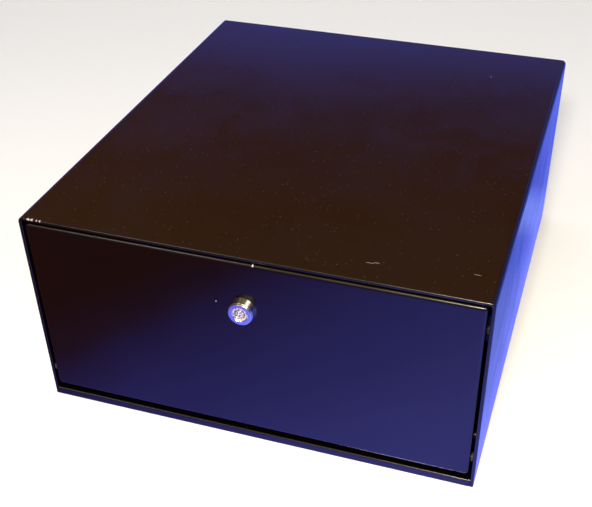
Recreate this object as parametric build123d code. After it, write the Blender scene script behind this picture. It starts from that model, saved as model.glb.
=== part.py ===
"""Book drop box: a welded sheet-steel case with a keyed drop-front door and a rear deposit slot.

Millimetres. +X is to the right as the door is faced, +Y points to the back and +Z up.
The origin is the centre of the case's footprint, on the surface that the box stands on.
"""

import os

from build123d import *

# Case
case_width = 406.0
case_depth = 457.0
case_height = 200.0
sheet = 1.5                  # thickness of the case and door steel
hem_gap = 0.2                # air left between the two layers of a folded hem
hem_depth = 14.0             # how far the folded edge reaches back from the front
corner_radius = 5.0          # outside bend between top and sides
weld_flange = 15.0           # spot-welded flanges of the base and the back
back_edge_radius = 1.5
rail_height = 7.5            # front edge of the base, below the door
hem = 2 * sheet + hem_gap
hem_round = 0.48 * hem       # nearly a full round on a folded edge

# Door
door_gap = 2.0               # between the door and the case, top and sides
door_bottom = 13.5           # height of the door's lower edge
door_flange = 14.0           # depth of the pressed tray
door_return = 10.0           # stiffening lip on the top and bottom flanges
door_edge_radius = 3.0       # outside bend from the door's face to its flanges
door_corner_radius = 4.0

# Door hinge pins, driven through the door's flanges into the folded side edges
pin_radius = 2.0
pin_height = 31.0
pin_seat = 2.2               # how far the pin goes into the folded edge
pin_inset = 6.0              # from the front of the case back to the hinge line
pin_head_radius = 3.6
pin_head = 1.8
washer_radius = 4.0
washer_thickness = 1.6
running_gap = 0.05           # radial clearance of a pin that turns
seat_gap = 0.02              # radial clearance of a pin that is fixed
play = 0.3                   # loose axial clearance, and the gap left at a stop

# Door stops
stud_radius = 4.0            # opening stop
stud_setback = 2.0           # behind the closed door
stud_length = 7.0
tab_drop = 38.0              # closing stop, a bent tab with a rubber bumper
tab_size = 25.0
tab_reach = 12.5
tab_leg = 20.0
bumper_radius = 3.5
bumper_thickness = 3.2

# Cam lock
lock_drop = 52.0             # from the top of the case down to the lock
lock_offset = -1.6           # from the middle of the door across to the lock
head_base_radius = 12.1
head_face_radius = 10.3
head_height = 7.8
head_edge_radius = 0.6
head_rim = 1.6               # from the face back to the groove around the head
head_groove = 0.35
bore_chamfer = 0.8           # around the core, at the face
barrel_radius = 9.5
barrel_flat = 8.0            # from the axis to each of the two flats
barrel_end_wall = 5.0
plug_radius = 6.25
plug_recess = 0.8
spindle_radius = 4.0
spindle_flat = 3.2
keyway_outer = 4.95
keyway_inner = 3.5
keyway_depth = 6.5
keyway_notch = 1.6
tumbler_count = 7
tumbler_radius = 0.6
tumbler_length = 4.0
tumbler_show = 2.0           # length of a tumbler that stands in the keyway
lock_hole_gap = 0.1
lock_washer_radius = 13.5
lock_washer_thickness = 0.8
nut_across_flats = 25.4
nut_thickness = 4.5
cam_thickness = 2.0
cam_length = 38.0
cam_half_width = 8.0
cam_hub_radius = 9.0
cam_washer_radius = 5.0
cam_washer_thickness = 0.8
screw_radius = 2.0
screw_length = 8.0
screw_across_flats = 7.0
screw_head = 2.8

# Strike that the cam turns behind
strike_half_width = 25.0
strike_drop = 30.0
strike_leg = 20.0
strike_clearance = 1.2       # between the door's flange and the strike

# Deposit slot in the back
slot_margin = 50.0           # from each side of the case to the slot
slot_height = 52.0
slot_drop = 55.0             # from the top of the case to the middle of the slot
throat_depth = 18.0
throat_gap = 0.5             # around the throat in the back panel's opening
slot_flange = 15.0
slot_corner_radius = 6.0
rivet_radius = 1.6
rivet_head_radius = 3.2
rivet_head_height = 1.1
rivet_bulb_radius = 2.5
rivet_bulb_length = 2.0
rivet_inset = 43.0           # from the ends of the slot to the outer rivets above and below

# Flap that hangs inside the slot
flap_overlap = 5.0           # how far the flap covers the throat at each end
flap_rise = 9.5              # from the throat's top up to the rod
flap_below = 5.0
flap_lip = 8.0
flap_gap = 0.5
flap_notch = 60.0            # middle stretch with no knuckle
rod_radius = 2.5
clip_thickness = 0.8
clip_radius = 4.5
clip_groove = 0.7            # depth of the groove that a clip sits in
rod_end = 1.6                # rod left outside a clip
bracket_gap = 3.5            # between the flap's end and its bracket
bracket_edge = 8.0           # metal around the rod
bracket_foot = 12.0

# Fixing holes
bolt_radius = 3.5
base_bolt_margin = (53.0, 58.5)      # from the sides, and from the front and back
wall_bolt_margin = (16.0, 35.0)      # from the sides, and from the top and bottom

# Where things lie
half_width = case_width / 2
front = -case_depth / 2
back = case_depth / 2
wall = half_width - sheet                     # inner face of a side
hem_wall = half_width - hem                   # inner face of a side's folded edge
ceiling = case_height - sheet
door_half_width = hem_wall - door_gap
door_top = case_height - hem - door_gap
hinge_y = front + pin_inset
door_rear = front + door_flange
lock_height = case_height - lock_drop
strike_front = door_rear + strike_clearance
cam_front = strike_front + sheet + play
barrel_end = cam_front - seat_gap
stud_y = door_rear + stud_setback + stud_radius
tab_front = door_rear + play + bumper_thickness
tab_height = case_height - tab_drop
back_inner = back - sheet
throat_end = back - throat_depth
slot_centre = case_height - slot_drop
slot_top = slot_centre + slot_height / 2
slot_bottom = slot_centre - slot_height / 2
slot_half_width = half_width - slot_margin
knuckle_bore = rod_radius + running_gap
knuckle_radius = knuckle_bore + sheet
rod_y = throat_end - flap_gap + knuckle_bore
rod_z = slot_top + sheet + flap_rise
flap_half_width = slot_half_width + sheet + flap_overlap
bracket_x = flap_half_width + bracket_gap
clip_x = bracket_x + sheet + play


def block(x0, x1, y0, y1, z0, z1):
    """A box between two corners."""
    size = Box(x1 - x0, y1 - y0, z1 - z0)
    return Pos((x0 + x1) / 2, (y0 + y1) / 2, (z0 + z1) / 2) * size


def bar_x(x0, x1, y, z, radius):
    """A round bar along X."""
    return Pos((x0 + x1) / 2, y, z) * Rot(0, 90, 0) * Cylinder(radius, abs(x1 - x0))


def bar_y(x, y0, y1, z, radius):
    """A round bar along Y."""
    return Pos(x, (y0 + y1) / 2, z) * Rot(90, 0, 0) * Cylinder(radius, abs(y1 - y0))


def hexagon_y(x, y0, y1, z, across_flats):
    """A hexagonal bar along Y."""
    outline = Plane.XZ * RegularPolygon(across_flats / 2, 6, major_radius=False)
    return Pos(x, y1, z) * extrude(outline, y1 - y0)


def arch(half, top, y0, y1, radius, bottom):
    """A bar along Y whose two upper corners are rounded."""
    body = block(-half, half, y0, y1, bottom, top)
    upper = body.edges().filter_by(Axis.Y).sort_by(Axis.Z)[-2:]
    return fillet(upper, radius)


def on_both_sides(shape):
    """The right-hand piece and its mirror image on the left."""
    return {"right": shape, "left": mirror(shape, Plane.YZ)}


def case_wrapper():
    """Top and both sides in one bent sheet, folded back on itself at the front."""
    hem_end = front + hem_depth
    shell = arch(half_width, case_height, front, back, corner_radius, 0)
    shell -= arch(wall, ceiling, hem_end, back, corner_radius - sheet, -sheet)
    shell -= arch(hem_wall, case_height - hem, front, hem_end, corner_radius - hem, -sheet)
    at_front = shell.edges().filter_by_position(Axis.Y, front - play, front + play)
    shell = fillet(at_front.filter_by_position(Axis.Z, play, case_height + play), hem_round)
    for side in (-1, 1):
        seat = side * (hem_wall + pin_seat)
        shell -= bar_x(side * (hem_wall - play), seat, hinge_y, pin_height, pin_radius + seat_gap)
    return shell


def base_pan():
    """Floor with welded side flanges, narrower in front where the sides are folded."""
    hem_end = front + hem_depth
    floor_end = back_inner
    pan = block(-wall, wall, hem_end, floor_end, 0, sheet)
    pan += block(-hem_wall, hem_wall, front + hem, hem_end, 0, sheet)
    for side in (-1, 1):
        inner, outer = sorted((side * (wall - sheet), side * wall))
        flange_end = back_inner - weld_flange
        pan += block(inner, outer, hem_end + play, flange_end - play, 0, weld_flange)
    bolt_x = half_width - base_bolt_margin[0]
    bolt_y = back - base_bolt_margin[1]
    for x in (-bolt_x, bolt_x):
        for y in (-bolt_y, bolt_y):
            pan -= Pos(x, y, sheet / 2) * Cylinder(bolt_radius, 3 * sheet)
    return pan


def front_rail():
    """Strip folded double, on edge across the front of the floor and welded to it."""
    rail = block(-hem_wall, hem_wall, front, front + hem, 0, rail_height)
    return fillet(rail.edges().filter_by(Axis.X).group_by(Axis.Z)[-1], hem_round)


def rivet_places():
    """Centres of the rivets around the deposit slot, as (x, z)."""
    edge_x = slot_half_width + sheet + slot_flange / 2
    edge_z = slot_height / 2 + sheet + slot_flange / 2
    spacing = slot_half_width - rivet_inset
    rows = [(i * spacing, slot_centre + s * edge_z) for s in (-1, 1) for i in (-1, 0, 1)]
    return rows + [(-edge_x, slot_centre), (edge_x, slot_centre)]


def rivet_holes(y0, y1):
    holes = [bar_y(x, y0, y1, z, rivet_radius + seat_gap) for x, z in rivet_places()]
    return Compound(children=holes)


def back_panel():
    """Welded back with flanges on all sides, an opening for the slot and four fixing holes."""
    panel = arch(wall, ceiling, back - weld_flange, back, corner_radius - sheet, 0)
    outer_edges = panel.edges().filter_by_position(Axis.Y, back - play, back + play)
    panel = fillet(outer_edges, back_edge_radius)
    inner_radius = corner_radius - 2 * sheet
    flange_front = back - weld_flange
    panel -= arch(wall - sheet, ceiling - sheet, flange_front, back_inner, inner_radius, 2 * sheet)
    panel -= block(-half_width, half_width, flange_front, back_inner, -sheet, sheet)
    opening_x = slot_half_width + sheet + throat_gap
    opening_z = slot_height / 2 + sheet + throat_gap
    panel -= block(-opening_x, opening_x, back - 3 * sheet, back + sheet,
                   slot_centre - opening_z, slot_centre + opening_z)
    panel -= rivet_holes(back - 2 * sheet, back + sheet)
    bolt_x = half_width - wall_bolt_margin[0]
    for x in (-bolt_x, bolt_x):
        for z in (wall_bolt_margin[1], case_height - wall_bolt_margin[1]):
            panel -= bar_y(x, back - 2 * sheet, back + sheet, z, bolt_radius)
    return panel


def strike_bracket():
    """Angle welded under the top, which the lock's cam turns behind."""
    face = block(-strike_half_width, strike_half_width, strike_front, strike_front + sheet,
                 ceiling - strike_drop, ceiling)
    leg = block(-strike_half_width, strike_half_width, strike_front, strike_front + strike_leg,
                ceiling - sheet, ceiling)
    return face + leg


def hinge_pin():
    """Right-hand hinge pin, its head inside the door and its end pressed into the folded edge."""
    head_end = door_half_width - sheet - play
    pin = bar_x(head_end, hem_wall + pin_seat - play, hinge_y, pin_height, pin_radius)
    head = bar_x(head_end - pin_head, head_end, hinge_y, pin_height, pin_head_radius)
    return pin + fillet(head.edges().sort_by(Axis.X)[0], 0.6 * pin_head)


def hinge_washer():
    """Right-hand nylon washer that fills the gap beside the door."""
    middle = hem_wall - door_gap / 2
    x0, x1 = middle - washer_thickness / 2, middle + washer_thickness / 2
    ring = bar_x(x0, x1, hinge_y, pin_height, washer_radius)
    return ring - bar_x(x0 - play, x1 + play, hinge_y, pin_height, pin_radius + 2 * running_gap)


def stop_stud():
    """Right-hand stud that the door's side flange meets when the door is level."""
    flange_when_open = pin_height + door_flange - pin_inset
    z = flange_when_open + play + stud_radius
    stud = bar_x(wall - stud_length, wall, stud_y, z, stud_radius)
    return chamfer(stud.edges().sort_by(Axis.X)[0], play)


def door_stop():
    """Right-hand bent tab, welded to the side, that carries a bumper."""
    z0, z1 = tab_height - tab_size / 2, tab_height + tab_size / 2
    face = block(wall - tab_reach, wall, tab_front, tab_front + sheet, z0, z1)
    leg = block(wall - sheet, wall, tab_front, tab_front + tab_leg, z0, z1)
    return face + leg


def stop_bumper():
    """Right-hand rubber bumper behind the door's side flange."""
    x = door_half_width - sheet / 2
    body = bar_y(x, tab_front - bumper_thickness, tab_front, tab_height, bumper_radius)
    return fillet(body.edges().sort_by(Axis.Y)[0], bumper_radius / 4)


def door_panel():
    """Pressed tray with stiffening lips, bored for the lock and the hinge pins."""
    tray = block(-door_half_width, door_half_width, front, door_rear, door_bottom, door_top)
    tray = fillet(tray.edges().filter_by(Axis.Y), door_corner_radius)
    tray = fillet(tray.faces().sort_by(Axis.Y)[0].edges(), door_edge_radius)
    inside = door_half_width - sheet
    low, high = door_bottom + sheet, door_top - sheet
    hollow = block(-inside, inside, front + sheet, door_rear - sheet, low, high)
    hollow = fillet(hollow.edges().filter_by(Axis.Y), door_corner_radius - sheet)
    tray -= fillet(hollow.faces().sort_by(Axis.Y)[0].edges(), door_edge_radius - sheet)
    tray -= block(-inside, inside, door_rear - sheet, door_rear, low + door_return, high - door_return)
    tray -= Pos(lock_offset, 0, 0) * lock_barrel(front - sheet, door_rear, lock_hole_gap)
    for side in (-1, 1):
        x0, x1 = side * (inside - play), side * (door_half_width + play)
        tray -= bar_x(x0, x1, hinge_y, pin_height, pin_radius + running_gap)
    return tray


def lock_barrel(y0, y1, gap):
    """The lock's threaded barrel with its two flats, larger all round by gap."""
    flat = barrel_flat + gap
    radius = barrel_radius + gap
    barrel = bar_y(0, y0, y1, lock_height, radius)
    return barrel & block(-flat, flat, y0, y1, lock_height - radius, lock_height + radius)


def lock_housing():
    """Tapered chrome head with a grooved rim, and a flatted barrel, bored for the core."""
    face = front - head_height
    cone = Pos(0, face + head_height / 2, lock_height) * Rot(-90, 0, 0) * Cone(
        head_face_radius, head_base_radius, head_height)
    cone = fillet(cone.edges().sort_by(Axis.Y)[0], head_edge_radius)
    body = cone + lock_barrel(front, barrel_end, 0)
    bore_end = barrel_end - barrel_end_wall
    body -= bar_y(0, face, bore_end, lock_height, plug_radius + running_gap)
    body -= bar_y(0, bore_end, barrel_end, lock_height, spindle_radius + running_gap)
    mouth = body.edges().filter_by(GeomType.CIRCLE).group_by(Axis.Y)[0].sort_by(SortBy.RADIUS)[0]
    body = chamfer(mouth, bore_chamfer)
    rim_radius = head_face_radius + (head_base_radius - head_face_radius) * head_rim / head_height
    groove = Rot(90, 0, 0) * Torus(rim_radius, head_groove)
    return body - Pos(0, face + head_rim, lock_height) * groove


def ring_y(y0, y1, inner, outer):
    """A flat ring around the lock's axis."""
    return bar_y(0, y0, y1, lock_height, outer) - bar_y(0, y0 - play, y1 + play, lock_height, inner)


def lock_washer():
    start = front + sheet
    return ring_y(start, start + lock_washer_thickness, barrel_radius + running_gap, lock_washer_radius)


def lock_nut():
    """Thin hexagonal nut that clamps the lock to the door."""
    start = front + sheet + lock_washer_thickness
    nut = hexagon_y(0, start, start + nut_thickness, lock_height, nut_across_flats)
    limit = bar_y(0, start, start + nut_thickness, lock_height, 0.555 * nut_across_flats)
    return (nut & limit) - bar_y(0, start, start + nut_thickness, lock_height, barrel_radius + running_gap)


def spindle_end(y0, y1, gap):
    """The core's flatted tail, which turns the cam, larger all round by gap."""
    flat = spindle_flat + gap
    radius = spindle_radius + gap
    tail = bar_y(0, y0, y1, lock_height, radius)
    return tail & block(-radius, radius, y0, y1, lock_height - flat, lock_height + flat)


def tumbler_places():
    """Tumbler centres around the lock's axis, as (x, z)."""
    middle = (keyway_outer + keyway_inner) / 2
    ring = PolarLocations(middle, tumbler_count).local_locations
    return [(place.position.X, lock_height + place.position.Y) for place in ring]


def lock_plug():
    """Core with a ring-shaped keyway, its tail bored for the cam screw."""
    face = front - head_height + plug_recess
    body_end = barrel_end - barrel_end_wall - play
    plug = bar_y(0, face, body_end, lock_height, plug_radius)
    plug += bar_y(0, body_end, cam_front, lock_height, spindle_radius)
    tail_end = cam_front + cam_thickness
    plug += spindle_end(cam_front, tail_end, 0)
    keyway_end = face + keyway_depth
    plug -= ring_y(face, keyway_end, keyway_inner, keyway_outer)
    plug -= block(-plug_radius, -keyway_inner, face - play, keyway_end,
                  lock_height - keyway_notch / 2, lock_height + keyway_notch / 2)
    for x, z in tumbler_places():
        end = keyway_end + tumbler_length - tumbler_show
        plug -= bar_y(x, keyway_end, end + play, z, tumbler_radius + seat_gap)
    screw_end = tail_end + cam_washer_thickness - screw_length
    return plug - bar_y(0, screw_end - play, tail_end + play, lock_height, screw_radius + seat_gap)


def tumbler_pins():
    """Spring tumblers whose ends show in the keyway."""
    start = front - head_height + plug_recess + keyway_depth - tumbler_show
    pins = [bar_y(x, start, start + tumbler_length, z, tumbler_radius) for x, z in tumbler_places()]
    return Compound(pins)


def lock_cam():
    """Flat cam, turned to the left when the door is unlocked."""
    end = cam_front + cam_thickness
    tip = cam_length - cam_half_width
    cam = bar_y(0, cam_front, end, lock_height, cam_hub_radius)
    cam += block(-tip, 0, cam_front, end, lock_height - cam_half_width, lock_height + cam_half_width)
    cam += bar_y(-tip, cam_front, end, lock_height, cam_half_width)
    return cam - spindle_end(cam_front - play, end + play, running_gap)


def cam_washer():
    start = cam_front + cam_thickness
    return ring_y(start, start + cam_washer_thickness, screw_radius + running_gap, cam_washer_radius)


def cam_screw():
    """Hexagon-head screw in the end of the core."""
    seat = cam_front + cam_thickness + cam_washer_thickness
    shank = bar_y(0, seat - screw_length, seat, lock_height, screw_radius)
    return shank + hexagon_y(0, seat, seat + screw_head, lock_height, screw_across_flats)


def slot_frame():
    """Trim around the deposit slot, with a throat that passes through the back."""
    outer_x = slot_half_width + sheet + slot_flange
    outer_z = slot_height / 2 + sheet + slot_flange
    plate = block(-outer_x, outer_x, back, back + sheet, slot_centre - outer_z, slot_centre + outer_z)
    plate = fillet(plate.edges().filter_by(Axis.Y), slot_corner_radius)
    frame = plate + block(-slot_half_width - sheet, slot_half_width + sheet, throat_end, back,
                          slot_bottom - sheet, slot_top + sheet)
    frame -= block(-slot_half_width, slot_half_width, throat_end - play, back + 2 * sheet,
                   slot_bottom, slot_top)
    return frame - rivet_holes(back - play, back + 2 * sheet)


def slot_rivets():
    """Blind rivets that hold the slot frame to the back."""
    rivets = []
    for x, z in rivet_places():
        head = bar_y(x, back + sheet, back + sheet + rivet_head_height, z, rivet_head_radius)
        head = fillet(head.edges().sort_by(Axis.Y)[-1], 0.9 * rivet_head_height)
        shank = bar_y(x, back_inner, back + sheet, z, rivet_radius)
        bulb = bar_y(x, back_inner - rivet_bulb_length, back_inner, z, rivet_bulb_radius)
        rivets.append(head + shank + bulb)
    return Compound(children=rivets)


def flap_bracket():
    """Right-hand bracket, welded to the back, that carries the end of the rod."""
    z0, z1 = rod_z - bracket_edge, rod_z + bracket_edge
    ear = block(bracket_x, bracket_x + sheet, rod_y - bracket_edge, back_inner, z0, z1)
    foot = block(bracket_x, bracket_x + bracket_foot, back_inner - sheet, back_inner, z0, z1)
    nose = ear.edges().filter_by(Axis.X).group_by(Axis.Y)[0]
    ear = fillet(nose, bracket_edge / 2)
    hole = bar_x(bracket_x - play, bracket_x + sheet + play, rod_y, rod_z, rod_radius + seat_gap)
    return ear + foot - hole


def flap_rod():
    """Rod that the flap hangs from, grooved for a clip at each end."""
    end = clip_x + clip_thickness + rod_end
    rod = bar_x(-end, end, rod_y, rod_z, rod_radius)
    for side in (-1, 1):
        x0, x1 = side * (clip_x - seat_gap), side * (clip_x + clip_thickness + seat_gap)
        groove = bar_x(x0, x1, rod_y, rod_z, rod_radius + play)
        rod -= groove - bar_x(x0 - side, x1 + side, rod_y, rod_z, rod_radius - clip_groove)
    return rod


def rod_clips():
    """Open spring clips at the two ends of the rod, their mouths at the bottom."""
    inner = rod_radius - clip_groove + seat_gap
    clip = bar_x(clip_x, clip_x + clip_thickness, rod_y, rod_z, clip_radius)
    clip -= bar_x(clip_x - play, clip_x + clip_thickness + play, rod_y, rod_z, inner)
    mouth = 0.8 * inner
    clip -= block(clip_x - play, clip_x + clip_thickness + play, rod_y - mouth, rod_y + mouth,
                  rod_z - 2 * clip_radius, rod_z)
    return Compound(children=[clip, mirror(clip, Plane.YZ)])


def deposit_flap():
    """Hanging steel flap with a curled top and a stiffening lip."""
    rear = throat_end - flap_gap
    bottom = slot_bottom - sheet - flap_below
    flap = block(-flap_half_width, flap_half_width, rear - sheet, rear, bottom, rod_z)
    flap += block(-flap_half_width, flap_half_width, rear - flap_lip, rear, bottom, bottom + sheet)
    flap += bar_x(-flap_half_width, flap_half_width, rod_y, rod_z, knuckle_radius)
    flap -= bar_x(-case_width, case_width, rod_y, rod_z, knuckle_bore)
    notch = flap_notch / 2
    notch_bottom = rod_z - knuckle_radius - play
    return flap - block(-notch, notch, rear - knuckle_radius, back, notch_bottom, case_height)


def build():
    """Every piece by name."""
    pieces = {
        "case_wrapper": case_wrapper(),
        "base_pan": base_pan(),
        "front_rail": front_rail(),
        "back_panel": back_panel(),
        "strike_bracket": strike_bracket(),
        "door_panel": door_panel(),
        "slot_frame": slot_frame(),
        "slot_rivets": slot_rivets(),
        "flap_rod": flap_rod(),
        "rod_clips": rod_clips(),
        "deposit_flap": deposit_flap(),
    }
    lock = {
        "lock_housing": lock_housing(),
        "lock_washer": lock_washer(),
        "lock_nut": lock_nut(),
        "lock_plug": lock_plug(),
        "tumbler_pins": tumbler_pins(),
        "lock_cam": lock_cam(),
        "cam_washer": cam_washer(),
        "cam_screw": cam_screw(),
    }
    for name, shape in lock.items():
        pieces[name] = Pos(lock_offset, 0, 0) * shape
    paired = {
        "hinge_pin": hinge_pin(),
        "hinge_washer": hinge_washer(),
        "stop_stud": stop_stud(),
        "door_stop": door_stop(),
        "stop_bumper": stop_bumper(),
        "flap_bracket": flap_bracket(),
    }
    for name, shape in paired.items():
        for side, copy in on_both_sides(shape).items():
            pieces[f"{name}_{side}"] = copy
    return pieces


os.makedirs("parts", exist_ok=True)
for node, shape in build().items():
    export_step(shape, f"parts/{node}.step")
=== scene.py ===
import math

import bpy
from mathutils import Matrix, Vector


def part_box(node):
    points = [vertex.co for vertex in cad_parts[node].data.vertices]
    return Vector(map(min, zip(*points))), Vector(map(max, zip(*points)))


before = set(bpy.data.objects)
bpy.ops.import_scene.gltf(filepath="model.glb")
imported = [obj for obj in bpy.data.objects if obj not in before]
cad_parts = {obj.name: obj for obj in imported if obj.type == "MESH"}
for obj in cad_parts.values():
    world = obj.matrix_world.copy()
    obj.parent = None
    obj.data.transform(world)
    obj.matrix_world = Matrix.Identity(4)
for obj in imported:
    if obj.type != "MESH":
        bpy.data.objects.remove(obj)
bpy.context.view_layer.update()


# ---------------------------------------------------------------------------------------------
# Case wrapper. One sheet of 1.5 mm steel bent into the top and both sides, its front edges
# folded back on themselves. It is sprayed with black enamel and baked, so the gloss has a
# slight orange peel, the folds wear first, and dust settles on whatever faces up.
# ---------------------------------------------------------------------------------------------

def add_node(tree, kind, inputs=None, **settings):
    """A shader node with its settings made and its inputs set to values or joined to sockets."""
    node = tree.nodes.new("ShaderNode" + kind)
    for name, value in settings.items():
        setattr(node, name, value)
    for name, value in (inputs or {}).items():
        if isinstance(value, bpy.types.NodeSocket):
            tree.links.new(value, node.inputs[name])
        else:
            node.inputs[name].default_value = value
    return node


def maths(tree, operation, first, second=0.0, third=0.0, clamp=False):
    """The result of one arithmetic step on values or sockets."""
    steps = {0: first, 1: second, 2: third}
    return add_node(tree, "Math", steps, operation=operation, use_clamp=clamp).outputs[0]


def vector_maths(tree, operation, first, second=(0.0, 0.0, 0.0), result="Vector"):
    """The result of one step on vectors, given as a Vector or a Value."""
    return add_node(tree, "VectorMath", {0: first, 1: second}, operation=operation).outputs[result]


def split_vector(tree, vector):
    """The X, Y and Z parts of a vector."""
    return add_node(tree, "SeparateXYZ", {0: vector}).outputs


def coordinate(tree, kind):
    """A piece's own coordinates, such as Object or Normal."""
    return add_node(tree, "TexCoord").outputs[kind]


def noise(tree, vector, scale, detail=2.0, roughness=0.5):
    """Soft noise between 0 and 1 at a number of waves per metre."""
    inputs = {"Vector": vector, "Scale": scale, "Detail": detail, "Roughness": roughness}
    return add_node(tree, "TexNoise", inputs).outputs["Fac"]


def new_effect(name, inputs, outputs):
    """An empty effect group, with its own input and output sockets."""
    tree = bpy.data.node_groups.new(name, "ShaderNodeTree")
    for label, value in inputs.items():
        kind = "NodeSocketVector" if isinstance(value, tuple) else "NodeSocketFloat"
        tree.interface.new_socket(label, in_out="INPUT", socket_type=kind).default_value = value
    for label in outputs:
        tree.interface.new_socket(label, in_out="OUTPUT", socket_type="NodeSocketFloat")
    given = tree.nodes.new("NodeGroupInput").outputs
    result = tree.nodes.new("NodeGroupOutput").inputs
    return tree, given, result


def place_effect(tree, effect, **inputs):
    """An effect group placed in a material with its own values."""
    node = tree.nodes.new("ShaderNodeGroup")
    node.node_tree = effect
    for label, value in inputs.items():
        socket = node.inputs[label.replace("_", " ")]
        if isinstance(value, bpy.types.NodeSocket):
            tree.links.new(value, socket)
        else:
            socket.default_value = value
    return node.outputs


# Distance in metres from the nearest outer fold or cut edge of a box-shaped piece. It is the
# middle one of the three depths below the piece's outer faces.
edge_distance, given, result = new_effect(
    "edge distance", {"Middle": (0.0, 0.0, 0.0), "Half size": (1.0, 1.0, 1.0)}, ["Distance"])
here = coordinate(edge_distance, "Object")
offset = vector_maths(edge_distance, "SUBTRACT", here, given["Middle"])
offset = vector_maths(edge_distance, "ABSOLUTE", offset)
depths = vector_maths(edge_distance, "SUBTRACT", given["Half size"], offset)
x, y, z = split_vector(edge_distance, depths)
nearest = maths(edge_distance, "MINIMUM", maths(edge_distance, "MINIMUM", x, y), z)
furthest = maths(edge_distance, "MAXIMUM", maths(edge_distance, "MAXIMUM", x, y), z)
total = maths(edge_distance, "ADD", maths(edge_distance, "ADD", x, y), z)
middle = maths(edge_distance, "SUBTRACT", maths(edge_distance, "SUBTRACT", total, nearest), furthest)
edge_distance.links.new(middle, result["Distance"])

# Paint knocked off to bare steel in small chips, and rubbed thin, both only near an edge.
edge_wear, given, result = new_effect(
    "edge wear", {"Distance": 0.0, "Width": 0.002, "Chipping": 0.3, "Scale": 300.0}, ["Chips", "Rub"])
here = coordinate(edge_wear, "Object")
share = maths(edge_wear, "DIVIDE", given["Distance"], given["Width"])
grain = noise(edge_wear, here, given["Scale"], 3.0, 0.6)
bare = maths(edge_wear, "SUBTRACT", maths(edge_wear, "ADD", grain, given["Chipping"]), 1.0)
bare = maths(edge_wear, "SUBTRACT", bare, maths(edge_wear, "MULTIPLY", share, 0.35))
edge_wear.links.new(maths(edge_wear, "MULTIPLY", bare, 40.0, clamp=True), result["Chips"])
thin = maths(edge_wear, "SUBTRACT", 1.0, maths(edge_wear, "MULTIPLY", share, 0.5), clamp=True)
patchy = noise(edge_wear, here, 45.0, 3.0)
edge_wear.links.new(maths(edge_wear, "MULTIPLY", thin, patchy), result["Rub"])

# The slight waviness that sprayed enamel dries with: fine dimples on a broader swell.
orange_peel, given, result = new_effect("orange peel", {"Scale": 700.0}, ["Height"])
here = coordinate(orange_peel, "Object")
dimples = noise(orange_peel, here, given["Scale"], 1.0)
swell = noise(orange_peel, here, maths(orange_peel, "MULTIPLY", given["Scale"], 0.22), 2.0)
height = maths(orange_peel, "MULTIPLY_ADD", swell, 0.8, maths(orange_peel, "MULTIPLY", dimples, 0.5))
orange_peel.links.new(height, result["Height"])

# Dust on faces that look up: separate specks, and a faint film in patches.
dust, given, result = new_effect("dust", {"Amount": 0.5, "Scale": 320.0}, ["Specks", "Film"])
here = coordinate(dust, "Object")
facing_up = split_vector(dust, coordinate(dust, "Normal"))[2]
facing_up = maths(dust, "MULTIPLY", maths(dust, "SUBTRACT", facing_up, 0.5), 2.0, clamp=True)
cells = add_node(dust, "TexVoronoi", {"Vector": here, "Scale": given["Scale"]}).outputs
luck = add_node(dust, "SeparateColor", {0: cells["Color"]}).outputs[0]
needed = maths(dust, "SUBTRACT", 1.0, given["Amount"])
size = maths(dust, "MULTIPLY", maths(dust, "SUBTRACT", luck, needed), 0.36)
speck = maths(dust, "MULTIPLY", maths(dust, "SUBTRACT", size, cells["Distance"]), 30.0, clamp=True)
dust.links.new(maths(dust, "MULTIPLY", speck, facing_up), result["Specks"])
film = maths(dust, "SUBTRACT", noise(dust, here, 11.0, 5.0, 0.62), 0.42, clamp=True)
film = maths(dust, "MULTIPLY", maths(dust, "MULTIPLY", film, given["Amount"]), facing_up)
dust.links.new(film, result["Film"])

# Fine hairline scratches: thin contour lines of a noise drawn out along one direction.
scratches, given, result = new_effect(
    "scratches", {"Angle": (0.0, 0.0, 0.4), "Stretch": (9.0, 60.0, 60.0), "Coverage": 0.4}, ["Lines"])
here = coordinate(scratches, "Object")
turned = add_node(scratches, "VectorRotate", {"Vector": here, "Rotation": given["Angle"]},
                  rotation_type="EULER_XYZ").outputs[0]
drawn_out = vector_maths(scratches, "MULTIPLY", turned, given["Stretch"])
contour = maths(scratches, "SUBTRACT", noise(scratches, drawn_out, 3.0, 0.0), 0.5)
contour = maths(scratches, "ABSOLUTE", contour)
line = maths(scratches, "SUBTRACT", 1.0, maths(scratches, "MULTIPLY", contour, 220.0), clamp=True)
missing = maths(scratches, "SUBTRACT", given["Coverage"], 1.0)
patch = maths(scratches, "ADD", noise(scratches, here, 17.0, 2.0), missing)
patch = maths(scratches, "MULTIPLY", patch, 9.0, clamp=True)
scratches.links.new(maths(scratches, "MULTIPLY", line, patch), result["Lines"])

# Where hands and cloths have dulled the gloss.
smudges, given, result = new_effect("smudges", {"Scale": 13.0}, ["Mask"])
here = coordinate(smudges, "Object")
swirl = add_node(smudges, "TexNoise", {"Vector": here, "Scale": given["Scale"], "Detail": 4.0,
                                       "Distortion": 1.6}).outputs["Fac"]
swirl = maths(smudges, "MULTIPLY", maths(smudges, "SUBTRACT", swirl, 0.4), 3.0, clamp=True)
smudges.links.new(swirl, result["Mask"])


def new_material(name):
    """A fresh material, with its node tree and its Principled shader."""
    material = bpy.data.materials.new(name)
    material.use_nodes = True
    return material, material.node_tree, material.node_tree.nodes["Principled BSDF"]


def blend_colour(tree, share, first, second):
    """A colour that goes from the first to the second as the share goes from 0 to 1."""
    return add_node(tree, "Mix", {0: share, 6: first, 7: second}, data_type="RGBA").outputs[2]


def roughen(tree, shader, height, strength, depth):
    """Small relief on a shader, at most the given depth in metres."""
    bump = add_node(tree, "Bump", {"Height": height, "Strength": strength, "Distance": depth})
    tree.links.new(bump.outputs[0], shader.inputs["Normal"])


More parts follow.
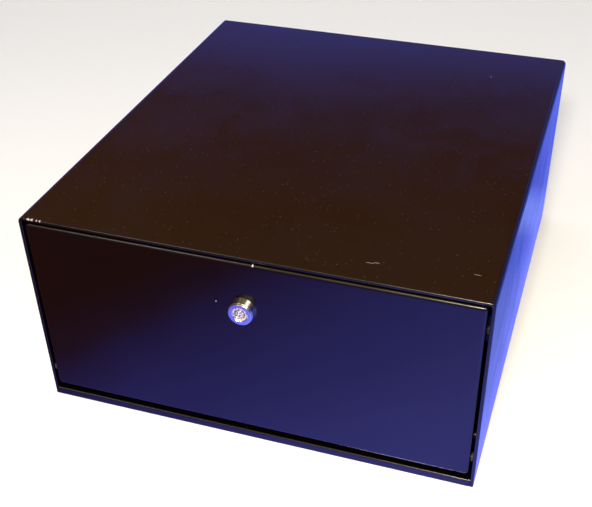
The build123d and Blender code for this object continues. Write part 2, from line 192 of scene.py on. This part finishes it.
def ragged_spot(tree, here, place, reach):
    """A single ragged spot at one place, with its own half sizes along X, Y and Z. It serves for chips
    and scuffs, and for one strip of painted highlight.
    """
    apart = vector_maths(tree, "SUBTRACT", here, place)
    distance = vector_maths(tree, "LENGTH", vector_maths(tree, "DIVIDE", apart, reach), result="Value")
    ragged = maths(tree, "SUBTRACT", noise(tree, here, 520.0, 3.0), 0.5)
    distance = maths(tree, "MULTIPLY_ADD", ragged, 1.6, distance)
    return maths(tree, "MULTIPLY", maths(tree, "SUBTRACT", 1.0, distance), 3.0, clamp=True)


enamel_black = (0.0010, 0.0006, 0.0004, 1.0)
enamel_thin = (0.0016, 0.0010, 0.0007, 1.0)
# Bare steel shows in chips. The same colour also draws a painted highlight on the door's bottom bend.
bare_steel_and_highlight = (0.50, 0.49, 0.47, 1.0)
dust_grey = (0.30, 0.28, 0.25, 1.0)
peel_depth = 0.000007


def enamel(node, chipping=0.30, width=0.0018, dusty=0.30, scratch=0.42, gloss=0.15, marks=()):
    """Black baked enamel for one CAD node, worn along that node's own edges."""
    material, tree, shader = new_material("enamel_" + node)
    low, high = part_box(node)
    edge = place_effect(tree, edge_distance, Middle=(low + high) / 2, Half_size=(high - low) / 2)
    wear = place_effect(tree, edge_wear, Distance=edge["Distance"], Width=width, Chipping=chipping)
    settled = place_effect(tree, dust, Amount=dusty)
    lines = place_effect(tree, scratches, Coverage=scratch)["Lines"]
    dulled = place_effect(tree, smudges)["Mask"]
    peel = place_effect(tree, orange_peel)["Height"]
    here = coordinate(tree, "Object")
    tone = noise(tree, here, 6.0, 3.0)
    chips_and_highlight = wear["Chips"]
    # The marks are chips and scuffs, and on the door one strip of painted highlight.
    for place, reach in marks:
        chips_and_highlight = maths(tree, "MAXIMUM", chips_and_highlight, ragged_spot(tree, here, place, reach))

    colour = enamel_black
    for layer, strength, paint in ((tone, 0.5, enamel_thin), (wear["Rub"], 0.6, enamel_thin),
                                   (lines, 0.05, dust_grey), (settled["Film"], 0.012, dust_grey),
                                   (settled["Specks"], 0.10, dust_grey), (chips_and_highlight, 1.0, bare_steel_and_highlight)):
        colour = blend_colour(tree, maths(tree, "MULTIPLY", layer, strength), colour, paint)
    rough = gloss
    for layer, strength in ((dulled, 0.05), (wear["Rub"], 0.10), (settled["Film"], 0.20),
                            (settled["Specks"], 0.40), (chips_and_highlight, 0.25)):
        rough = maths(tree, "MULTIPLY_ADD", layer, strength, rough, clamp=True)
    height = maths(tree, "MULTIPLY_ADD", lines, -0.4, peel)
    height = maths(tree, "MULTIPLY_ADD", chips_and_highlight, -4.0, height)

    tree.links.new(colour, shader.inputs["Base Color"])
    tree.links.new(rough, shader.inputs["Roughness"])
    tree.links.new(maths(tree, "MULTIPLY", chips_and_highlight, 0.6), shader.inputs["Metallic"])
    roughen(tree, shader, height, 0.5, peel_depth)
    return material


def finish_node(node, material):
    """Gives a CAD node a material in place of the plain one that it came with."""
    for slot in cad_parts[node].material_slots:
        slot.material = material


# Four knocks along the front fold near the left corner, three scuffs on the top near the door,
# and one paint nib further back. Each has its place from the front left top corner.
low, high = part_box("case_wrapper")
corner = Vector((low.x, low.y, high.z))
knock_depth = Vector((0.0, 0.0010, -0.0006))
knocks = ((0.0105, 0.0015), (0.0142, 0.0018), (0.0183, 0.0006), (0.0216, 0.0008))
scuffs = ((0.3020, 0.0240), (0.3075, 0.0255), (0.3855, 0.0330))
scuff_reach = (0.0032, 0.00025, 0.00045)
nib = (0.3342, 0.3915, 0.0)
nib_reach = (0.0009, 0.0009, 0.001)
case_marks = [(corner + Vector((along, 0.0, 0.0)) + knock_depth, (half_length, 0.0013, 0.0009))
              for along, half_length in knocks]
case_marks += [(corner + Vector((along, back, 0.0)), scuff_reach) for along, back in scuffs]
case_marks += [(corner + Vector(nib), nib_reach)]
finish_node("case_wrapper", enamel("case_wrapper", chipping=0.33, dusty=0.50, marks=case_marks))


# ---------------------------------------------------------------------------------------------
# Base pan, front rail and back panel. All are folded from the same sheet, spot-welded inside the
# wrapper and sprayed with it. The rail is a strip folded double on edge under the door.
# ---------------------------------------------------------------------------------------------

finish_node("base_pan", enamel("base_pan", chipping=0.34, dusty=0.42))
finish_node("front_rail", enamel("front_rail", chipping=0.34))
finish_node("back_panel", enamel("back_panel"))


# ---------------------------------------------------------------------------------------------
# Door. A pressed tray of the same sheet, enamelled on its own before it is hung. It is chipped
# at the top bend and has a nick left of the lock. A bare strip along the right of its bottom bend
# is a painted highlight, a line of reflected light drawn in bare steel.
# ---------------------------------------------------------------------------------------------

low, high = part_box("door_panel")
middle_top = Vector(((low.x + high.x) / 2, low.y, high.z))
bottom_right = Vector((high.x, low.y, low.z))
# Two chips, then a strip of painted highlight: bare, metallic steel along the right of the bottom bend,
# standing in for a line of reflected light.
door_marks_and_highlight = [(middle_top + Vector((0.0088, 0.0008, -0.0006)), (0.0009, 0.0014, 0.0014)),
              (middle_top + Vector((-0.0253, 0.0, -0.0433)), (0.0006, 0.001, 0.0007)),
              (bottom_right + Vector((-0.055, 0.0010, 0.0016)), (0.062, 0.0016, 0.0006))]
finish_node("door_panel", enamel("door_panel", chipping=0.33, scratch=0.36, marks=door_marks_and_highlight))


# ---------------------------------------------------------------------------------------------
# Small enamelled steel: the strike, the door's stops, the slot frame, the flap and its brackets.
# Bent or turned from steel, welded or riveted in place, and sprayed with the case.
# ---------------------------------------------------------------------------------------------

for node in ("strike_bracket", "slot_frame", "deposit_flap", "stop_stud_right", "stop_stud_left",
             "door_stop_right", "door_stop_left", "flap_bracket_right", "flap_bracket_left"):
    finish_node(node, enamel(node, chipping=0.28, width=0.0012, gloss=0.42))


# ---------------------------------------------------------------------------------------------
# Lock. A tubular cam lock: die-cast head and barrel with bright chrome plating, a turned core
# with a ring-shaped keyway, and brass tumblers. It is clamped through the door by its nut.
# ---------------------------------------------------------------------------------------------

def plated(name, colour, rough, grain, relief, front=None):
    """Bare or plated metal with a fine finish, and if asked a painted reflection tint on its forward
    faces.
    """
    material, tree, shader = new_material(name)
    here = coordinate(tree, "Object")
    fine = noise(tree, here, grain, 4.0, 0.6)
    blotch = noise(tree, here, 120.0, 3.0)
    dulled = place_effect(tree, smudges, Scale=90.0)["Mask"]
    dark = tuple(0.62 * part for part in colour[:3]) + (1.0,)
    shade = maths(tree, "MULTIPLY", maths(tree, "MULTIPLY", fine, blotch), 0.9)
    tint = blend_colour(tree, shade, colour, dark)
    rough = maths(tree, "MULTIPLY_ADD", dulled, 0.12, rough)
    # Painted reflection: faces turned forward get another tint, which changes the colour they reflect.
    if front:
        facing = split_vector(tree, coordinate(tree, "Normal"))[1]
        facing = maths(tree, "MULTIPLY_ADD", facing, -10.0, -8.5, clamp=True)
        tint = blend_colour(tree, facing, tint, front)
        rough = maths(tree, "MULTIPLY_ADD", facing, 0.08, rough)
    shader.inputs["Metallic"].default_value = 1.0
    tree.links.new(tint, shader.inputs["Base Color"])
    tree.links.new(rough, shader.inputs["Roughness"])
    roughen(tree, shader, fine, 0.4, relief)
    return material


def stamped_core(name):
    """Matt plated steel, its stamped marks and key scratches filled with dark grime."""
    material, tree, shader = new_material(name)
    stamped = noise(tree, coordinate(tree, "Object"), 900.0, 2.0, 0.6)
    grime = maths(tree, "MULTIPLY", maths(tree, "SUBTRACT", stamped, 0.50), 14.0, clamp=True)
    colour = blend_colour(tree, grime, (0.96, 0.95, 0.92, 1.0), (0.05, 0.05, 0.07, 1.0))
    shader.inputs["Metallic"].default_value = 1.0
    tree.links.new(colour, shader.inputs["Base Color"])
    tree.links.new(maths(tree, "MULTIPLY_ADD", grime, -0.30, 0.74), shader.inputs["Roughness"])
    roughen(tree, shader, stamped, 0.6, 0.0006)
    return material


chrome_collar = (0.78, 0.80, 0.80, 1.0)
# The head's forward faces are tinted cyan: a painted reflection colour, not a different plating.
painted_face_reflection = (0.66, 0.99, 0.93, 1.0)
finish_node("lock_housing", plated("lock_chrome", chrome_collar, 0.13, 900.0, 0.000004, painted_face_reflection))
finish_node("lock_plug", stamped_core("core_nickel"))
finish_node("tumbler_pins", plated("tumbler_brass", (0.78, 0.56, 0.25, 1.0), 0.22, 1500.0, 0.000005))


# ---------------------------------------------------------------------------------------------
# Zinc-plated fittings: the lock's nut, washers, cam and screw, the slot's rivets, the flap's rod
# and clips, and the two headed pins that the door hangs on, which are given a darker zinc.
# ---------------------------------------------------------------------------------------------

zinc = plated("zinc_plate", (0.60, 0.60, 0.62, 1.0), 0.28, 1500.0, 0.00001)
for node in ("lock_washer", "lock_nut", "lock_cam", "cam_washer", "cam_screw", "slot_rivets",
             "flap_rod", "rod_clips"):
    finish_node(node, zinc)
darker_zinc = plated("darker_zinc", (0.16, 0.15, 0.14, 1.0), 0.42, 1500.0, 0.00001)
for side in ("right", "left"):
    finish_node("hinge_pin_" + side, darker_zinc)


# ---------------------------------------------------------------------------------------------
# Bumpers and hinge washers. Moulded rubber buttons glued to the closing stops, and nylon rings
# on the hinge pins.
# ---------------------------------------------------------------------------------------------

def moulded(name, colour, rough, grain, relief):
    """A dull moulded plastic or rubber with a fine grain."""
    material, tree, shader = new_material(name)
    fine = noise(tree, coordinate(tree, "Object"), grain, 4.0, 0.6)
    pale = tuple(1.8 * part for part in colour[:3]) + (1.0,)
    tree.links.new(blend_colour(tree, fine, colour, pale), shader.inputs["Base Color"])
    tree.links.new(maths(tree, "MULTIPLY_ADD", fine, 0.2, rough), shader.inputs["Roughness"])
    roughen(tree, shader, fine, 0.5, relief)
    return material


rubber = moulded("bumper_rubber", (0.018, 0.018, 0.019, 1.0), 0.62, 2200.0, 0.00004)
nylon = moulded("washer_nylon", (0.012, 0.012, 0.013, 1.0), 0.65, 1600.0, 0.00001)
for side in ("right", "left"):
    finish_node("stop_bumper_" + side, rubber)
    finish_node("hinge_washer_" + side, nylon)


# ---------------------------------------------------------------------------------------------
# Floor. A plain pale surface. Reflections see it instead as a glowing deep blue cloth, a painted
# reflection made by an emission that only glossy rays see, which ends in a diagonal fold in front
# of the box and lies in soft folds along its right side.
# ---------------------------------------------------------------------------------------------

def ramp(tree, share, stops):
    """A colour looked up along a ramp of (place, colour) stops."""
    node = add_node(tree, "ValToRGB", {0: share})
    elements = node.color_ramp.elements
    while len(elements) < len(stops):
        elements.new(1.0)
    for element, (place, colour) in zip(elements, stops):
        element.position = place
        element.color = colour + (1.0,)
    return node.outputs[0]


floor_colour = (0.92, 0.92, 0.93, 1.0)
reflected_cloth_colours = [(0.08, (0.19, 0.045, 0.050)), (0.16, (0.19, 0.065, 0.20)), (0.20, (0.20, 0.12, 0.66)),
                 (0.27, (0.26, 0.21, 1.25)), (0.40, (0.36, 0.34, 1.95)), (0.58, (0.58, 0.58, 2.9)),
                 (0.72, (0.40, 0.46, 2.0))]
reflected_fold_colours = [(0.10, (0.22, 0.30, 1.12)), (0.33, (0.19, 0.26, 1.04)), (0.43, (0.11, 0.17, 1.00)),
                (0.47, (0.12, 0.18, 1.00)), (0.51, (0.28, 0.38, 1.40)), (0.55, (0.28, 0.38, 1.40)),
                (0.60, (0.11, 0.16, 1.02)), (0.72, (0.14, 0.20, 1.18)), (0.95, (0.18, 0.25, 1.36))]
cloth_end = 0.365        # how far left of the middle the cloth ends, measured along X at Y = 0
cloth_slant = 0.62       # how much the end leans along Y
cloth_lead = 0.2         # length of ramp before the end
fold_start = 0.3         # the folds' ramp begins this far in front of the middle
cloth_front = -0.235     # beside the box the folds begin here

bpy.ops.object.select_all(action="DESELECT")
bpy.ops.mesh.primitive_plane_add(size=8.0, location=(0.0, 0.0, 0.0))
floor = bpy.context.object
floor.name = "floor"
material, tree, shader = new_material("floor_pale")
shader.inputs["Base Color"].default_value = floor_colour
shader.inputs["Roughness"].default_value = 0.9
here = coordinate(tree, "Object")
x, y, _ = split_vector(tree, here)
from_end = maths(tree, "MULTIPLY_ADD", y, cloth_slant, maths(tree, "ADD", x, cloth_end))
wrinkle = maths(tree, "MULTIPLY_ADD", noise(tree, here, 9.0, 2.0), 0.08, -0.04)
share = maths(tree, "ADD", maths(tree, "ADD", from_end, wrinkle), cloth_lead, clamp=True)
cloth = ramp(tree, share, reflected_cloth_colours)
folds = ramp(tree, maths(tree, "ADD", y, fold_start), reflected_fold_colours)
case_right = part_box("case_wrapper")[1].x
beside = maths(tree, "MULTIPLY", maths(tree, "SUBTRACT", x, case_right), 60.0, clamp=True)
behind = maths(tree, "MULTIPLY", maths(tree, "SUBTRACT", y, cloth_front), 30.0, clamp=True)
ground = blend_colour(tree, maths(tree, "MULTIPLY", beside, behind), cloth, folds)
# Painted reflection: for glossy rays only, the floor glows in these colours.
painted_reflection = add_node(tree, "Emission", {"Color": ground, "Strength": 1.0})
glossy = add_node(tree, "LightPath").outputs["Is Glossy Ray"]
mix = add_node(tree, "MixShader", {0: glossy, 1: shader.outputs[0], 2: painted_reflection.outputs[0]})
tree.links.new(mix.outputs[0], tree.nodes["Material Output"].inputs["Surface"])
floor.data.materials.append(material)


# ---------------------------------------------------------------------------------------------
# Room. Plain soft light all round. Reflections see it brown overhead and blue low down, with a
# warm glow in front and above, a window to its right and a narrow bright strip to its left.
# ---------------------------------------------------------------------------------------------

room_colours = [(0.000, (0.10, 0.10, 0.30)), (0.300, (0.14, 0.14, 0.55)), (0.365, (0.26, 0.33, 1.90)),
                (0.390, (0.21, 0.19, 0.80)), (0.412, (0.18, 0.10, 0.17)), (0.432, (0.20, 0.068, 0.008)),
                (0.480, (0.235, 0.072, 0.012)), (0.550, (0.36, 0.135, 0.038)),
                (0.620, (0.48, 0.20, 0.075))]
room_light = (0.96, 0.96, 0.98, 1.0)
room_strength = 0.70
glow_colour = (1.15, 0.80, 0.38, 1.0)
window_colour = (10.0, 9.4, 8.2, 1.0)

world = bpy.data.worlds.new("room")
bpy.context.scene.world = world
world.use_nodes = True
tree = world.node_tree
direction = coordinate(tree, "Generated")
x, _, height = split_vector(tree, direction)
leftward = maths(tree, "MAXIMUM", maths(tree, "SUBTRACT", maths(tree, "MULTIPLY", x, -1.0), 0.30), 0.0)
height = maths(tree, "MULTIPLY_ADD", leftward, 0.2, height)
room = ramp(tree, height, room_colours)


def bright_patch(toward, inner, outer):
    """A round patch of the room, full inside one cosine from its middle and gone outside the other."""
    middle = Vector(toward).normalized()
    cosine = vector_maths(tree, "DOT_PRODUCT", direction, middle, result="Value")
    return maths(tree, "DIVIDE", maths(tree, "SUBTRACT", cosine, outer), inner - outer, clamp=True)


glow = bright_patch((0.15, -0.62, 0.77), 0.97, 0.55)
window = bright_patch((0.476, -0.466, 0.738), 0.978, 0.958)
strip = bright_patch((-0.41, -0.544, 0.728), 0.9975, 0.9955)
room = blend_colour(tree, glow, room, glow_colour)
room = blend_colour(tree, maths(tree, "ADD", window, strip, clamp=True), room, window_colour)
reflected = add_node(tree, "Background", {"Color": room, "Strength": 1.0})
plain = add_node(tree, "Background", {"Color": room_light, "Strength": room_strength})
glossy = add_node(tree, "LightPath").outputs["Is Glossy Ray"]
mix = add_node(tree, "MixShader", {0: glossy, 1: plain.outputs[0], 2: reflected.outputs[0]})
tree.links.new(mix.outputs[0], tree.nodes["World Output"].inputs["Surface"])


# ---------------------------------------------------------------------------------------------
# Front light. One small warm lamp above the camera and a little behind it, which draws the
# bright lines along the bends.
# ---------------------------------------------------------------------------------------------

light_place = Vector((0.22, -0.98, 0.92))
light_target = Vector((0.0, -0.2, 0.1))
lamp = bpy.data.lights.new("front_light", "AREA")
lamp.shape = "RECTANGLE"
lamp.size = 0.15
lamp.size_y = 0.11
lamp.energy = 22.0
lamp.color = (1.0, 0.89, 0.70)
light = bpy.data.objects.new("front_light", lamp)
bpy.context.scene.collection.objects.link(light)
light.location = light_place
light.rotation_euler = (light_target - light_place).to_track_quat("-Z", "Y").to_euler()


# ---------------------------------------------------------------------------------------------
# Camera. Above the box and to its right, far enough in front to see all of the door.
# ---------------------------------------------------------------------------------------------

camera_azimuth = math.radians(17.82)
camera_elevation = math.radians(37.17)
camera_roll = math.radians(-0.34)
camera_distance = 1.07
aim = Vector((-0.0062, 0.0, -0.0021))
back = Vector((math.sin(camera_azimuth) * math.cos(camera_elevation),
               -math.cos(camera_azimuth) * math.cos(camera_elevation),
               math.sin(camera_elevation)))
lens = bpy.data.cameras.new("camera")
lens.lens = 59.36
lens.shift_x = -0.0445
lens.shift_y = 0.0679
camera = bpy.data.objects.new("camera", lens)
bpy.context.scene.collection.objects.link(camera)
turn = (-back).to_track_quat("-Z", "Y").to_matrix().to_4x4()
place = Matrix.Translation(aim + back * camera_distance)
camera.matrix_world = place @ turn @ Matrix.Rotation(camera_roll, 4, "Z")
bpy.context.scene.camera = camera
bpy.context.scene.view_settings.view_transform = "Standard"
